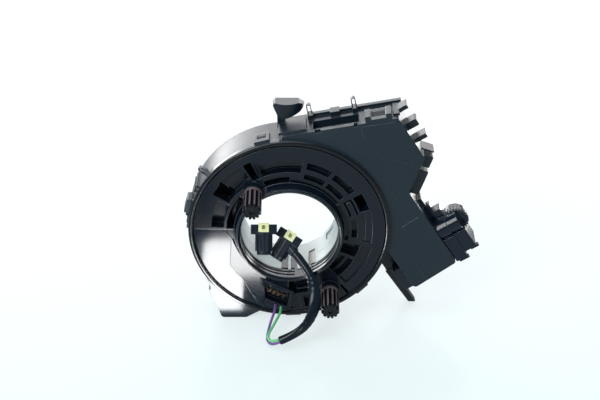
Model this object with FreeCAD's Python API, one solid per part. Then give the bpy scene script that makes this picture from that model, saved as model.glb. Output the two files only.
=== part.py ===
import FreeCAD, Part
import math
import os

V = FreeCAD.Vector

# A steering clock spring: a rotor that turns with the steering wheel inside a case that is fixed
# to the column. All sizes are millimetres. The rotor turns on the Y axis, the steering wheel is
# at -Y, Z points up, and the rotor's front face lies in the plane Y = 0.

# Rotor and hub
BORE_R = 25.6
HUB_WALL = 1.8
HUB_FRONT = -6.0
HUB_BACK = 11.0
LIP = 1.1
ROTOR_R = 49.7
RECESS = 6.0
FLOOR_T = 1.4
CORED_R = 45.0

# Case
RIM_GAP = 0.6
COLLAR_W = 2.4
COLLAR_PROUD = 1.5
PLATE_T = 2.0
WALL_T = 1.8
CASSETTE_T = 1.4
PARTITION_Y = 14.0
PARTITION_T = 1.2
BACK_Y = 20.6
BACK_T = 1.4
HUB_CLEARANCE = 0.9
CORNER_R = 2.0
STAND_Z = 55.4

# Sides of the arm and the foot, each as the angle of its outward normal and its distance from
# the rotor axis in the front view
TOP = (100.4, 54.4)
SHOULDER = (32.3, 81.0)
NOTCH = (-19.8, 50.4)
ARM_FAR = (32.3, 63.7)
ARM_END = (-52.8, 69.4)
ARM_NEAR = (212.3, -36.6)
ARM_INNER = (-79.6, -20.0)
ARM_LEFT = (180.0, 4.1)
FOOT_LEFT = (-163.7, 50.7)
FOOT_BASE = (-90.0, STAND_Z)
FOOT_RIGHT = (-60.0, 36.3)
FOOT_INNER = (55.0, -39.6)

# Open channel in the top wall, along the wall and across it
CHANNEL_FROM = -45.7
CHANNEL_TO = -22.3
CHANNEL_FLOOR = 50.2
CHANNEL_WALL = 1.8

# Guide paddle
PADDLE_D = 8.4
PADDLE_R = 9.6

# Drive posts
POST_R = 4.8
POST_CORE_R = 2.2
POST_FLUTES = 12
POST_FLUTE_R = 0.8
POST_ROOT = -4.0
POST_LENGTH = 17.0
POST_END_T = 1.2
POST_FROM_HUB = 2.9
POST_FROM_RIM = 7.6
POST_ANGLES = (127.8, -59.6)

# Steering angle sensor
GEAR_MODULE = 1.2
PRESSURE_ANGLE = 20.0
RING_TEETH = 56
GEAR_TEETH = (20, 18)
GEAR_ANGLES = (40.0, 6.0)
GEAR_Y = 15.9
GEAR_T = 2.2
GEAR_BACKLASH = 0.2
RING_BORE_R = 25.2
RING_BACK = 26.0
PIN_R = 1.95
PIN_CLEARANCE = 0.05
PIN_LENGTH = 0.8
MAGNET_R = 3.0
RING_WINDOWS = ((-40.0, -24.0, 17.2, 6.0, 0.8), (-10.0, 4.0, 19.0, 2.6, 1.2))
MAGNET_T = 1.2
BOARD_T = 1.4
PRONG_L = 5.5
PRONGS = ((-99.0, -92.0), (-88.0, -81.0), (-66.0, -58.0), (60.0, 68.0), (150.0, 158.0))

# Flat cable
RIBBON_T = 0.35
RIBBON_W = 4.6
RIBBON_Y = 8.6
RIBBON_TURNS = 5
TERMINAL_T = 1.9
RIBBON_IN_R = 31.4
TERMINAL_GAP = 0.5

# Snap latches round the case: the tongue's width and length, the window's width
LATCH = (8.0, 8.5, 4.6)
WIDE_LATCH = (13.6, 11.5, 6.8)
LATCH_T = 1.2
LATCH_GAP = 0.15

# Outlet of the flat cable and the airbag socket, at the rotor's lower left
OUTLET_FROM = 178.6
OUTLET_TO = 268.4
OUTLET_FRONT = -1.6
OUTLET_MIDDLE = -145.0
BOX_FRONT = -3.2
BOX_EDGE = 36.4
BOX_SLOPE = 20.0
OUTLET_GAP = 0.15
SOCKET_CORNERS = [(-13.4, -31.1), (0.2, -38.2), (-1.9, -48.9), (-13.2, -44.3)]
FRAME_CORNERS = [(-15.2, -28.6), (2.2, -37.4), (0.2, -49.0), (-4.0, -49.4), (-15.2, -46.6)]
SOCKET_TURN = -25.5
CONTACT_ROW = (-4.3, -1.5, 1.3, 4.1)
WIRE_SHELF_Y = -2.4

# Connectors on the arm, along its far side and away from it
SOCKET_LOW = 50.0
PIN_SIZE = 0.64
BARREL_R = 6.2
BARREL_T = 1.3
BARREL_PLACE = (74.0, 46.2)
BARREL_FRONT = 9.6
BARREL_BACK = 17.0
SERRATIONS = 24

# Airbag plugs on the harness, which hang with their noses down and forward
HANG = 30.5
HEAD_W = 13.6
HEAD_D = 7.6
HEAD_H = 5.1
NOSE_R = 4.4
NOSE_TIP_R = 3.6
NOSE_L = 11.2
LOCK_W = 5.4
LOCK_SEAT = 1.2
LOCK_GAP = 0.1
PLUG_PLACES = ((-13.3, -0.78, -1.5, 0.0), (-1.5, 3.6, -8.6, 32.0))
WIRE_D = 1.4
SLEEVE_D = 4.6
RELIEF_D = 5.6
RELIEF_L = 6.0

COVER_HOLE_R = ROTOR_R + RIM_GAP
COLLAR_R = COVER_HOLE_R + COLLAR_W
PLATE_Y = COLLAR_PROUD
WALL_Y = PLATE_Y + PLATE_T
CASE_BACK = BACK_Y + BACK_T
BOARD_Y = BACK_Y - BOARD_T
HUB_R = BORE_R + HUB_WALL
PASS_R = HUB_R + HUB_CLEARANCE
FLOOR_Y = RECESS + FLOOR_T
CASSETTE_R = COLLAR_R - 0.4
RIBBON_OUT_R = CASSETTE_R - CASSETTE_T - TERMINAL_T
POST_PLACES = {"upper": (HUB_R + POST_FROM_HUB, POST_ANGLES[0]),
               "lower": (ROTOR_R - POST_FROM_RIM, POST_ANGLES[1])}
ARM_SIDES = [ARM_LEFT, TOP, SHOULDER, NOTCH, ARM_FAR, ARM_END, ARM_NEAR, ARM_INNER]
FOOT_SIDES = [FOOT_LEFT, FOOT_BASE, FOOT_RIGHT, FOOT_INNER]

# Latches: the side's normal, the wall's distance, the shift along the wall and the form
LATCHES = [
    (105.0, COLLAR_R, 0.0, LATCH),
    (TOP[0], TOP[1], -55.8, WIDE_LATCH),
    (165.0, COLLAR_R, 0.0, LATCH),
    (FOOT_LEFT[0], FOOT_LEFT[1], 28.0, LATCH),
    (-88.0, COLLAR_R, 0.0, LATCH),
    (-44.0, COLLAR_R, 0.0, LATCH),
]


def polar(radius, angle, y=0.0):
    """Point at a radius and an angle counted from +X towards +Z in the front view."""
    turn = math.radians(angle)
    return V(radius * math.cos(turn), y, radius * math.sin(turn))


def disc(radius, y0, y1, centre=V(0, 0, 0)):
    """Cylinder along Y."""
    return Part.makeCylinder(radius, y1 - y0, V(centre.x, y0, centre.z), V(0, 1, 0))


def ring(r_in, r_out, y0, y1):
    """Tube along Y round the rotor axis."""
    return disc(r_out, y0, y1).cut(disc(r_in, y0 - 1, y1 + 1))


def sector(r_in, r_out, y0, y1, a0, a1):
    """Block between two radii and two angles of the front view."""
    middle = (a0 + a1) / 2
    outer = Part.Arc(polar(r_out, a0, y0), polar(r_out, middle, y0), polar(r_out, a1, y0)).toShape()
    inner = Part.Arc(polar(r_in, a1, y0), polar(r_in, middle, y0), polar(r_in, a0, y0)).toShape()
    end = Part.makeLine(polar(r_out, a1, y0), polar(r_in, a1, y0))
    start = Part.makeLine(polar(r_in, a0, y0), polar(r_out, a0, y0))
    return Part.Face(Part.Wire([outer, end, inner, start])).extrude(V(0, y1 - y0, 0))


def corner_arc(before, here, after, radius):
    """First, middle and last point of the arc that rounds one corner."""
    back = (before - here).normalize()
    onward = (after - here).normalize()
    half = back.getAngle(onward) / 2
    reach = radius / math.tan(half)
    centre = here + (back + onward).normalize() * (radius / math.sin(half))
    middle = centre + (here - centre).normalize() * radius
    return here + back * reach, middle, here + onward * reach


def rounded_edges(points, radii, closed):
    """Straight runs joined by tangent arcs through a list of corner points."""
    count = len(points)
    inner = range(count) if closed else range(1, count - 1)
    arcs = [corner_arc(points[i - 1], points[i], points[(i + 1) % count], radii[i]) for i in inner]
    edges = []
    last = arcs[-1][2] if closed else points[0]
    for start, middle, end in arcs:
        edges.append(Part.makeLine(last, start))
        edges.append(Part.Arc(start, middle, end).toShape())
        last = end
    if not closed:
        edges.append(Part.makeLine(last, points[-1]))
    return edges


def prism(points, y0, y1, radius=0.0):
    """Outline of the front view run back along Y, with its corners rounded alike."""
    corners = [V(x, y0, z) for x, z in points]
    if radius > 0:
        wire = Part.Wire(rounded_edges(corners, [radius] * len(corners), True))
    else:
        wire = Part.makePolygon(corners + corners[:1])
    return Part.Face(wire).extrude(V(0, y1 - y0, 0))


def side_point(side, u, t):
    """Point in the frame of a side: u along the side's outward normal, t along the side."""
    point = polar(u, side) + polar(t, side + 90)
    return point.x, point.z


def block(side, u0, u1, t0, t1, y0, y1, radius=0.0):
    """Box in the frame of a side."""
    corners = [(u0, t0), (u1, t0), (u1, t1), (u0, t1)]
    return prism([side_point(side, u, t) for u, t in corners], y0, y1, radius)


def arm_point(n, a):
    """Point in the arm's frame: n across the arm from the rotor axis, a down along it."""
    return side_point(ARM_FAR[0], n, -a)


def arm_box(n0, n1, a0, a1, y0, y1, radius=0.0):
    """Box in the arm's frame."""
    return block(ARM_FAR[0], n0, n1, -a1, -a0, y0, y1, radius)


def meet(side_a, side_b):
    """Crossing of two sides, each given by its normal's angle and its distance."""
    a = math.radians(side_a[0])
    b = math.radians(side_b[0])
    spread = math.sin(b - a)
    x = (side_a[1] * math.sin(b) - side_b[1] * math.sin(a)) / spread
    z = (side_b[1] * math.cos(a) - side_a[1] * math.cos(b)) / spread
    return x, z


def side_prism(sides, y0, y1, inset, radius):
    """Prism bounded by sides that are all moved inwards by an inset."""
    moved = [(angle, distance - inset) for angle, distance in sides]
    points = [meet(moved[i - 1], moved[i]) for i in range(len(moved))]
    return prism(points, y0, y1, radius)


def fuse(shapes):
    """One solid from solids that touch or overlap."""
    return shapes[0].fuse(shapes[1:]).removeSplitter()


def cut_all(body, tools):
    """Body less several tools, one after the other."""
    for tool in tools:
        body = body.cut(tool)
    return body


def case_outline(y0, y1, inset=0.0):
    """Case outline: the round drum with the arm at its right and the foot at its lower left."""
    rounding = max(CORNER_R - inset, 0.3)
    return fuse([
        disc(COLLAR_R - inset, y0, y1),
        side_prism(ARM_SIDES, y0, y1, inset, rounding),
        side_prism(FOOT_SIDES, y0, y1, inset, rounding),
    ])


def latch_loop(side, reach, shift, form):
    """Snap loop of the cover: a tongue along the wall's outside with a window in it."""
    width, length, window = form
    inner = reach + LATCH_GAP
    outer = inner + LATCH_T
    half = width / 2
    tongue = block(side, inner, outer, shift - half, shift + half, PLATE_Y, PLATE_Y + length)
    root = block(side, reach - 1.5, outer, shift - half, shift + half, PLATE_Y, WALL_Y)
    hole = block(side, inner - 1, outer + 1, shift - window / 2, shift + window / 2,
                 WALL_Y + 0.8, PLATE_Y + length - 1.6)
    return tongue.fuse(root).cut(hole)


def latch_hook(side, reach, shift, form):
    """Wedge on the case wall that the snap loop catches on."""
    width, length, window = form
    half = window / 2 - 0.3
    back = PLATE_Y + length - 1.8
    out = polar(1, side)
    foot = out * (reach - 1.0) + polar(shift - half, side + 90)
    profile = [(0, WALL_Y + 1.4), (0, back), (2.3, back), (2.3, back - 1.2)]
    points = [foot + out * u + V(0, y, 0) for u, y in profile]
    return Part.Face(Part.makePolygon(points + points[:1])).extrude(polar(2 * half, side + 90))


def latch_ears():
    """Rounded ears beside the wide latch's window and the boss over the left latch."""
    side, reach, shift, form = LATCHES[1]
    edge = form[0] / 2
    inner = reach + LATCH_GAP + 0.2
    ears = [block(side, inner, inner + 3.0, shift + a, shift + a + 3.0, PLATE_Y, PLATE_Y + 8.6, 0.6)
            for a in (-edge, edge - 3.0)]
    side, reach, shift, form = LATCHES[2]
    boss = block(side, reach + LATCH_GAP + LATCH_T - 0.1, reach + 2.9, -4.0, 4.0, PLATE_Y, 9.4, 0.5)
    space = block(side, reach, reach + 1.9, -form[2] / 2, form[2] / 2, WALL_Y + 0.8, 10.0)
    return ears + [boss.cut(space)]


def front_cover():
    """Moulded front plate with the collar round the rotor and the snap loops of the case."""
    plate = case_outline(PLATE_Y, WALL_Y)
    collar = disc(COLLAR_R, 0, WALL_Y)
    collar = collar.makeChamfer(0.5, [e for e in collar.Edges if e.BoundBox.YMax < 0.01])
    field = block(TOP[0], TOP[1] - 8.6, TOP[1] - 1.8, -63.5, -46.5, PLATE_Y - 0.25, PLATE_Y + 0.5)
    loops = [latch_loop(*place) for place in LATCHES]
    cover = fuse([plate, collar, field, cover_lip()] + latch_ears() + loops)
    cover = cover.cut(disc(COVER_HOLE_R, -1, WALL_Y + 4))
    return cut_all(cover, cover_grooves() + top_notches())


def cover_lip():
    """Lip behind the plate that centres it in the case wall along the arm."""
    lip = side_prism(ARM_SIDES, WALL_Y - 0.2, WALL_Y + 2.5, WALL_T + LATCH_GAP, 0.5)
    lip = lip.cut(side_prism(ARM_SIDES, WALL_Y - 1, WALL_Y + 4, WALL_T + 1.3, 0.5))
    lip = lip.cut(disc(COLLAR_R + 0.5, WALL_Y - 1, WALL_Y + 4))
    return lip.cut(block(TOP[0], 40, 60, CHANNEL_FROM - 3, 20, WALL_Y - 1, WALL_Y + 4))


def groove(start, end, width=0.35, depth=0.25):
    """Fine straight line sunk into the plate."""
    a = V(start[0], 0, start[1])
    b = V(end[0], 0, end[1])
    along = (b - a).normalize()
    across = V(-along.z, 0, along.x) * (width / 2)
    points = [a - across, b - across, b + across, a + across]
    return prism([(p.x, p.z) for p in points], PLATE_Y - 1, PLATE_Y + depth)


def cover_grooves():
    """Lines where the mould inserts of the plate meet."""
    return [
        groove((41.0, 43.7), (62.9, 39.0)),
        groove((41.0, 43.7), (37.8, 37.0)),
        groove((43.0, 31.0), (56.9, 20.8)),
        groove((58.6, 1.5), (66.7, 7.6)),
        groove((55.7, -6.5), (71.3, -29.6)),
    ]


def top_notches():
    """Notches in the plate's upper edge over the open channel."""
    upper = TOP[1]
    places = [(-26.0, -23.0), (-45.0, -43.0)]
    return [block(TOP[0], upper - 1.2, upper + 1, a, b, PLATE_Y - 1, WALL_Y + 1) for a, b in places]


def rear_housing():
    """Moulded case: outer wall, cassette wall, partition, channel, lugs, leg and sensor pins."""
    wall = case_outline(WALL_Y, BACK_Y).cut(case_outline(WALL_Y - 1, BACK_Y + 1, WALL_T))
    cassette = ring(CASSETTE_R - CASSETTE_T, CASSETTE_R, WALL_Y, PARTITION_Y + 0.2)
    partition = case_outline(PARTITION_Y, PARTITION_Y + PARTITION_T, WALL_T - 0.2)
    partition = partition.cut(disc(PASS_R, PARTITION_Y - 1, PARTITION_Y + 3))
    channel = block(TOP[0], CHANNEL_FLOOR - CHANNEL_WALL, TOP[1] - 0.2, CHANNEL_FROM - CHANNEL_WALL,
                    CHANNEL_TO + CHANNEL_WALL, WALL_Y, PARTITION_Y + 0.5)
    parts = [wall, cassette, partition, channel, paddle()] + bracket()
    parts += [latch_hook(*place) for place in LATCHES]
    parts += gear_pins() + top_rail() + side_lugs() + drum_ribs()
    opening = block(TOP[0], CHANNEL_FLOOR, TOP[1] + 2, CHANNEL_FROM, CHANNEL_TO,
                    WALL_Y + 0.8, PARTITION_Y - 1.2)
    return fuse(parts).cut(opening)


def gear_pins():
    """Pins on the partition that carry the measuring gears."""
    pins = []
    for teeth, angle in zip(GEAR_TEETH, GEAR_ANGLES):
        centre = gear_centre(teeth, angle)
        pins.append(disc(PIN_R, PARTITION_Y + 0.5, GEAR_Y + PIN_LENGTH, centre))
        pins.append(disc(PIN_R + 1.2, PARTITION_Y + 0.5, GEAR_Y, centre))
    return pins


def top_rail():
    """Raised pad, rail and blocks along the top wall."""
    upper = TOP[1]
    pad = block(TOP[0], upper - 0.5, upper + 0.8, -19.0, -4.5, WALL_Y + 0.8, BACK_Y - 3.5, 0.4)
    rail = block(TOP[0], upper - 0.5, upper + 1.6, -68.0, -19.5, BACK_Y - 2.6, BACK_Y)
    blocks = []
    for start, end in ((-22.8, -19.8), (-36.5, -31.5), (-45.5, -43.0)):
        blocks.append(block(TOP[0], upper - 0.5, upper + 2.8, start, end, BACK_Y - 6.4, BACK_Y - 1.0))
    blocks.append(block(TOP[0], upper - 0.5, upper + 0.9, -66.6, -63.2, WALL_Y + 1.5, BACK_Y - 3.0, 0.4))
    return [pad, rail] + blocks


def drum_ribs():
    """Upright ribs and a stepped boss on the drum's left side."""
    ribs = [block(a, COLLAR_R - 0.5, COLLAR_R + 1.1, -0.6, 0.6, WALL_Y + 0.6, BACK_Y - 2.0)
            for a in (153.0, 156.0, 176.5, 180.0)]
    ribs.append(block(172.6, COLLAR_R - 0.5, COLLAR_R + 1.8, -1.4, 1.4, WALL_Y + 3.0, BACK_Y - 5.0, 0.4))
    return ribs


def side_lugs():
    """Tabs along the shoulder, the two boxes and the flange below them and a lug on the arm."""
    lugs = []
    reach = SHOULDER[1]
    for first, last, rounding in ((24.6, 26.8, 0.3), (13.5, 17.5, 0.9), (5.2, 7.6, 0.3)):
        lugs.append(block(SHOULDER[0], reach - 0.8, reach + 5.8, first, last, 9.0, 15.5, rounding))
    reach = NOTCH[1]
    lugs.append(block(NOTCH[0], reach - 2.6, reach + 4.8, 64.4, 65.2, 8.0, 16.0))
    lugs.append(block(NOTCH[0], reach - 0.8, reach + 5.1, 56.7, 63.5, 5.0, 16.0, 0.7))
    lugs.append(block(NOTCH[0], reach - 0.8, reach + 5.9, 40.2, 54.6, 5.0, 17.0, 0.7))
    reach = ARM_FAR[1]
    lugs.append(arm_box(reach - 0.5, reach + 2.0, 24.0, 29.5, 8.0, 15.0))
    return lugs


def paddle():
    """Guide paddle on top of the case: a stem under a blade that is rounded like a spoon."""
    front = BACK_Y - PADDLE_D
    corners = [(-8.4, 65.4), (-7.3, 67.2), (4.8, 67.2), (8.4, 64.6), (5.6, 62.0), (1.2, 60.2),
               (-3.0, 58.8), (-6.0, 60.4)]
    blade = prism(corners, front, BACK_Y, 0.9)
    plan = Part.makeCylinder(PADDLE_R, 12, V(-1.4, front + PADDLE_R, 56.5), V(0, 0, 1))
    behind = Part.makeBox(4 * PADDLE_R, 20, 12, V(-2 * PADDLE_R, front + PADDLE_R, 56.5))
    stem = prism([(-6.0, 52.0), (-6.2, 61.0), (-2.0, 61.0), (-2.2, 52.0)], front + 3.0, BACK_Y)
    return fuse([blade.common(plan.fuse(behind)), stem])


def bracket():
    """Rear bracket at the lower right with the leg that reaches the stand level."""
    web = arm_box(25.4, 38.0, 44.0, 62.0, 17.0, BACK_Y, 1.6)
    gusset = arm_box(29.6, 38.0, 56.0, 69.5, 9.0, BACK_Y, 0.6)
    x, z = arm_point(34.6, 64.2)
    pin = disc(1.1, 7.6, 9.5, V(x, 0, z))
    leg = prism([arm_point(n, a) for n, a in ((24.6, 58.0), (28.8, 58.0), (28.2, 88.0), (25.3, 88.0))],
                16.6, BACK_Y)
    below = Part.makeBox(80, 40, 40, V(30, 0, -STAND_Z - 40))
    return [web, gusset, pin, leg.cut(below)]


def sensor_cover():
    """Rear cover over the sensor, with a collar round the hub and stiffening ribs."""
    plate = case_outline(BACK_Y, CASE_BACK)
    collar = disc(PASS_R + 2.0, BACK_Y, CASE_BACK + 1.4)
    rim = ring(COLLAR_R - 4.2, COLLAR_R - 2.8, CASE_BACK - 0.3, CASE_BACK + 0.8)
    ribs = [block(a, PASS_R + 1, COLLAR_R - 3, -0.7, 0.7, CASE_BACK - 0.3, CASE_BACK + 0.8)
            for a in range(60, 330, 30)]
    return fuse([plate, collar, rim] + ribs).cut(disc(PASS_R, BACK_Y - 1, CASE_BACK + 3))


def liner_disc():
    """Thin slippery disc that the flat cable's edge runs on."""
    return ring(PASS_R + 0.8, CASSETTE_R - CASSETTE_T - 0.3, PARTITION_Y - 0.3, PARTITION_Y)


# Pockets of the rotor's face: inner and outer radius in percent of the way from the hub to the
# rim, first and last angle, depth
THROUGH = FLOOR_Y + 2
DEEP = RECESS - 0.6
POCKETS = [
    (33, 82, 122.5, 141.8, 2.6), (33, 55, 122.5, 141.8, 4.6), (35, 79, 141.5, 151.3, THROUGH),
    (33, 80, 115.8, 121.5, THROUGH), (30, 60, 153.8, 176.6, DEEP),
    (54, 63, 80.2, 112.6, 1.4), (44, 55, 80.2, 112.6, 2.8), (34, 45, 80.2, 112.6, DEEP),
    (45, 63, 57.8, 77.0, 4.0), (19, 33, 57.8, 77.0, 4.0),
    (45, 63, 35.2, 55.0, 4.0), (19, 33, 35.6, 55.0, 4.0),
    (48, 71, 17.0, 31.2, THROUGH), (22, 43, 15.0, 31.2, 4.0),
    (22, 36, -7.2, 11.8, 4.0), (50, 71, -10.2, 15.4, 0.9),
    (7, 47, -25.6, -13.2, DEEP), (7, 48, -47.6, -28.2, DEEP), (50, 76, -47.6, -13.2, 1.6),
    (70, 110, -52.0, -50.2, THROUGH),
    (16, 53, -90.6, -72.0, DEEP), (61, 95, -80.0, -70.0, 4.4), (62, 96, -90.5, -83.0, 0.7),
    (7, 22, 89.6, 114.4, DEEP), (7, 24, 140.6, 177.4, THROUGH),
    (7, 13, 33.0, 87.0, 2.2), (7, 16, -11.0, 31.0, 2.2),
]


def face_r(percent):
    """Radius on the rotor's face, in percent of the way from the hub to the rim."""
    return HUB_R + (ROTOR_R - HUB_R) * percent / 100


def rotor_disc():
    """Moulded rotor: hub tube, face with windows, stepped pockets and ribs, and post bosses."""
    face = disc(ROTOR_R, 0, FLOOR_Y)
    tube = disc(HUB_R, HUB_FRONT, HUB_BACK)
    flare = Part.makeCone(HUB_R + 0.4, HUB_R + 1.4, -HUB_FRONT - 1, V(0, HUB_FRONT + 1, 0), V(0, 1, 0))
    body = fuse([face, tube, flare]).cut(disc(BORE_R, HUB_FRONT - 1, HUB_BACK + 1))
    cuts = [sector(face_r(p0), face_r(p1), -1, depth, a0, a1) for p0, p1, a0, a1, depth in POCKETS]
    cuts.append(ring(CORED_R, ROTOR_R - 1.4, 4.6, FLOOR_Y + 1))
    cuts += [sector(BORE_R - 0.5, BORE_R + 0.6, y, y + 1.5, -64.0, 276.0) for y in (-3.0, -0.2, 2.6)]
    cuts.append(Part.makeCone(BORE_R + LIP + 1, BORE_R - 1, LIP + 2, V(0, HUB_FRONT - 1, 0), V(0, 1, 0)))
    cuts.append(sector(HUB_R + 1.8, ROTOR_R + 1, -1, RECESS, OUTLET_FROM, OUTLET_TO))
    cuts.append(prism(scaled_outline(FRAME_CORNERS, OUTLET_GAP), -1, RECESS))
    cuts += [post_space(name) for name in POST_PLACES]
    body = cut_all(body, cuts)
    bosses = [post_boss(name) for name in POST_PLACES]
    prongs = [sector(BORE_R, HUB_R, HUB_BACK - 0.5, HUB_BACK + PRONG_L, a0, a1) for a0, a1 in PRONGS]
    return fuse([body] + pocket_details() + bosses + prongs)


def pocket_details():
    """Finger, strip and step walls that stand in the pockets."""
    finger = sector(face_r(27), face_r(39), -0.4, RECESS, 14.2, 30.0)
    strip = sector(face_r(55), face_r(67), 0.3, 1.5, -8.6, 13.8)
    ledge = sector(face_r(30), face_r(38), 2.8, RECESS, -47.7, -28.1)
    fin = sector(face_r(41), face_r(45), 1.2, RECESS, -84.0, -71.9)
    boss = disc(1.3, -0.6, RECESS, polar(face_r(27), 114.6))
    return [finger, strip, ledge, fin, boss]


def post_space(name):
    """Room for a drive post where the hub's front edge would meet it."""
    radius, angle = POST_PLACES[name]
    return disc(POST_R + 0.2, HUB_FRONT - 1, POST_ROOT, polar(radius, angle))


def post_boss(name):
    """Boss that a drive post stands on, with the pin inside the post."""
    radius, angle = POST_PLACES[name]
    centre = polar(radius, angle)
    boss = disc(POST_R + 0.5, POST_ROOT, RECESS, centre).cut(disc(HUB_R - 0.2, POST_ROOT - 1, RECESS + 1))
    pin = disc(POST_CORE_R, POST_ROOT - POST_LENGTH + POST_END_T, POST_ROOT + 1, centre)
    return boss.fuse(pin)


def drive_post(name):
    """Fluted sleeve on a post that takes up the play in the steering wheel's pocket."""
    radius, angle = POST_PLACES[name]
    centre = polar(radius, angle)
    front = POST_ROOT - POST_LENGTH
    sleeve = disc(POST_R, front, POST_ROOT, centre)
    sleeve = sleeve.makeChamfer(0.6, [e for e in sleeve.Edges if e.BoundBox.YMax < front + 0.01])
    step = 360.0 / POST_FLUTES
    flutes = []
    for i in range(POST_FLUTES):
        flutes.append(disc(POST_FLUTE_R, front - 1, POST_ROOT - 2.0, centre + polar(POST_R, i * step)))
        flutes.append(block_at(centre, i * step, POST_CORE_R + 1.1, POST_R, 0.3, front - 1, front + 1.0))
    flutes.append(disc(POST_CORE_R - 0.6, front - 1, front + 0.8, centre))
    flutes.append(disc(POST_CORE_R, front + POST_END_T, POST_ROOT + 1, centre))
    return cut_all(sleeve, flutes)


def block_at(centre, angle, r0, r1, half, y0, y1):
    """Short radial box round a centre of its own."""
    box = block(angle, r0, r1, -half, half, y0, y1)
    box.translate(V(centre.x, 0, centre.z))
    return box


def outlet_cover():
    """Glossy lid over the place where the flat cable leaves the rotor, with the socket's frame."""
    inner_r = HUB_R + 1.8 + OUTLET_GAP
    lid = sector(inner_r, ROTOR_R, 0.6, RECESS, OUTLET_FROM + 0.3, OUTLET_TO - 0.3)
    lid = lid.cut(sector(inner_r + 1.2, ROTOR_R - 1.2, 2.0, RECESS + 1, OUTLET_FROM + 2, OUTLET_TO - 2))
    box = prism([(-33.1, -0.6), (-30.4, -5.0), (-31.4, -20.5), (-28.6, -22.6), (-28.2, -25.4), (-25.3, -26.9),
                 (-16.9, -43.8), (-13.8, -45.4), (-12.2, -26.4)], BOX_FRONT, 2.0)
    box = box.cut(disc(inner_r, BOX_FRONT - 1, 3))
    slope = Part.makeBox(60, 20, 80, V(-60, -20, -40))
    slope.Placement = FreeCAD.Placement(polar(BOX_EDGE, OUTLET_MIDDLE, BOX_FRONT),
                                        FreeCAD.Rotation(V(0, 1, 0), -OUTLET_MIDDLE).multiply(
                                            FreeCAD.Rotation(V(0, 0, 1), -BOX_SLOPE)))
    box = box.cut(slope)
    frame = prism(FRAME_CORNERS, OUTLET_FRONT + 0.4, 5.0)
    body = fuse([lid, box, frame])
    seam = block(OUTLET_MIDDLE, BOX_EDGE + 1.4, BOX_EDGE + 1.8, -30, 30, BOX_FRONT - 1, BOX_FRONT + 0.3)
    hole = prism(SOCKET_CORNERS, OUTLET_FRONT - 2, RECESS + 1)
    return cut_all(body, [seam, hole, ring(ROTOR_R, ROTOR_R + 9, BOX_FRONT - 1, RECESS + 1)])


def socket_point(along, up):
    """Point in the socket's own frame, along its row of contacts and up across it."""
    centre = V(-7.1, 0, -39.6)
    point = centre + polar(along, SOCKET_TURN) + polar(up, SOCKET_TURN + 90)
    return point.x, point.z


def socket_box(a0, a1, b0, b1, y0, y1):
    """Box in the socket's own frame."""
    corners = [(a0, b0), (a1, b0), (a1, b1), (a0, b1)]
    return prism([socket_point(a, b) for a, b in corners], y0, y1)


def squib_socket():
    """Insulator of the rotor's socket: body, cells and the shelf that the wires leave by."""
    body = prism(scaled_outline(SOCKET_CORNERS, -OUTLET_GAP), WIRE_SHELF_Y, RECESS)
    room = socket_box(-20, 20, -3.4, 20, WIRE_SHELF_Y - 1, 2.2)
    fence = socket_box(-5.0, 5.0, 3.0, 4.0, -0.4, 2.4)
    cells = [socket_box(s - 1.05, s + 1.05, -1.3, 1.5, 0, 4.8) for s in CONTACT_ROW]
    return cut_all(body.cut(room).fuse(fence).removeSplitter(), cells)


def scaled_outline(points, gap):
    """Outline whose corners move outwards along the lines from its middle by about a gap."""
    cx = sum(p[0] for p in points) / len(points)
    cz = sum(p[1] for p in points) / len(points)
    moved = []
    for x, z in points:
        scale = 1 + 1.6 * gap / math.hypot(x - cx, z - cz)
        moved.append((cx + (x - cx) * scale, cz + (z - cz) * scale))
    return moved


def squib_contacts():
    """Row of plated contacts in the socket's cells."""
    forks = []
    for s in CONTACT_ROW:
        fork = socket_box(s - 0.75, s + 0.75, -1.3, 1.1, 1.0, 4.8)
        forks.append(fork.cut(socket_box(s - 0.25, s + 0.25, -0.9, 2, 0, 3.6)))
    return Part.makeCompound(forks)


def gear_centre(teeth, angle):
    """Centre of a measuring gear that meshes with the sensor ring."""
    return polar(GEAR_MODULE * (RING_TEETH + teeth) / 2, angle)


def gear_body(teeth, y0, y1, centre, turn):
    """Toothed disc along Y whose involute flanks are drawn through four points each."""
    pitch = GEAR_MODULE * teeth / 2
    press = math.radians(PRESSURE_ANGLE)
    base = pitch * math.cos(press)
    half_pitch = math.pi / (2 * teeth) - GEAR_BACKLASH / (2 * pitch)
    flank = []
    for lift in (-1.15, -0.45, 0.2, 0.8):
        radius = pitch + lift * GEAR_MODULE
        here = math.acos(min(1.0, base / radius))
        spread = (math.tan(press) - press) - (math.tan(here) - here)
        flank.append((radius, math.degrees(half_pitch + spread)))
    points = []
    for i in range(teeth):
        middle = turn + 360.0 * i / teeth
        points += [centre + polar(radius, middle - half, y0) for radius, half in flank]
        points += [centre + polar(radius, middle + half, y0) for radius, half in reversed(flank)]
    return Part.Face(Part.makePolygon(points + points[:1])).extrude(V(0, y1 - y0, 0))


def mesh_turn(teeth, angle):
    """Turn that puts a gap of the gear over the ring's tooth at the line of centres."""
    phase = (angle % (360.0 / RING_TEETH)) * RING_TEETH / 360.0
    return angle + 180.0 + (phase + 0.5) * 360.0 / teeth


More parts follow.
